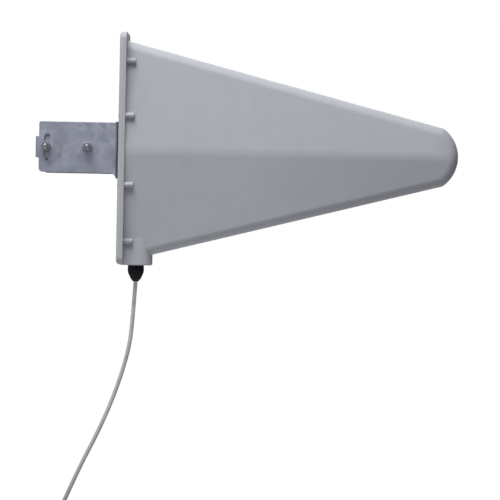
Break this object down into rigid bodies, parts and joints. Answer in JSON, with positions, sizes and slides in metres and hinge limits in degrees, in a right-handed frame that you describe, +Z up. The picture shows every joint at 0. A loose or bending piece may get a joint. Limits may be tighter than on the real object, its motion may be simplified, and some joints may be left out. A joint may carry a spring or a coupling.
{
  "type": "log-periodic antenna",
  "caption": "Wedge-shaped directional antenna in a light grey moulded radome, with a tilting steel mast clamp, a cable gland and a coaxial lead that ends in a threaded jack.",
  "frame": {"origin": "on the mast's axis, level with the two clamp bolts", "axes": "+Z up along the mast, +X along the antenna towards its nose, +Y across it, away from the clamp nuts"},
  "size_m": [0.5112, 0.0872, 0.6993],
  "materials": {
    "radome_plastic": "light grey moulded ASA, fine satin texture, a little weathered",
    "galvanised_sheet": "zinc-plated steel sheet, dull blue-grey, faintly mottled",
    "plated_steel": "bright zinc-plated steel, slightly dulled",
    "black_rubber": "matt EPDM rubber",
    "aluminium": "mill-finish aluminium, drawn along its length",
    "white_nylon": "natural nylon",
    "dark_foam": "closed-cell foam",
    "brass": "bright brass",
    "copper_wire": "bare copper",
    "cable_jacket": "light grey PVC jacket, smooth and slightly matt",
    "black_nylon": "black nylon, satin",
    "black_sleeve": "black heat-shrink sleeve",
    "nickel_plate": "nickel-plated brass"
  },
  "bodies": {
    "mast_clamp": {"mast_strap": "galvanised_sheet", "pivot_bolt": "plated_steel", "lock_bolt": "plated_steel", "clamp_washers": "plated_steel", "clamp_spring_washers": "plated_steel", "clamp_nuts": "plated_steel"},
    "antenna": {"tilt_bracket": "galvanised_sheet", "bracket_screws": "plated_steel", "bracket_washers": "plated_steel", "bracket_nuts": "plated_steel", "backing_plate": "plated_steel", "boom_pins": "plated_steel", "cover_screws": "plated_steel", "radome_shell": "radome_plastic", "rear_cover": "radome_plastic", "cover_gasket": "black_rubber", "gland_seal": "black_rubber", "boom_mount": "aluminium", "boom_left": "aluminium", "boom_right": "aluminium", "dipole_nuts": "aluminium", "boom_spacers": "white_nylon", "connector_insulator": "white_nylon", "nose_pad": "dark_foam", "feed_shield_tab": "brass", "feed_core_tab": "brass", "connector_contact": "brass", "coax_core": "copper_wire", "feed_coax": "cable_jacket", "cable": "cable_jacket", "cable_coil": "cable_jacket", "cable_tail": "cable_jacket", "gland_body": "black_nylon", "gland_locknut": "black_nylon", "gland_nut": "black_nylon", "cable_tie": "black_nylon", "connector_sleeve": "black_sleeve", "crimp_ferrule": "nickel_plate", "connector_body": "nickel_plate", "dipole_01": "aluminium", "dipole_02": "aluminium", "dipole_03": "aluminium", "dipole_04": "aluminium", "dipole_05": "aluminium", "dipole_06": "aluminium", "dipole_07": "aluminium", "dipole_08": "aluminium", "dipole_09": "aluminium", "dipole_10": "aluminium", "dipole_11": "aluminium", "dipole_12": "aluminium"}
  },
  "joints": [
    {"name": "tilt", "type": "hinge", "parent": "mast_clamp", "child": "antenna", "pos_m": [0.025, 0, 0], "axis": [0, 1, 0], "range_deg": [-14.5, 14.5]}
  ]
}
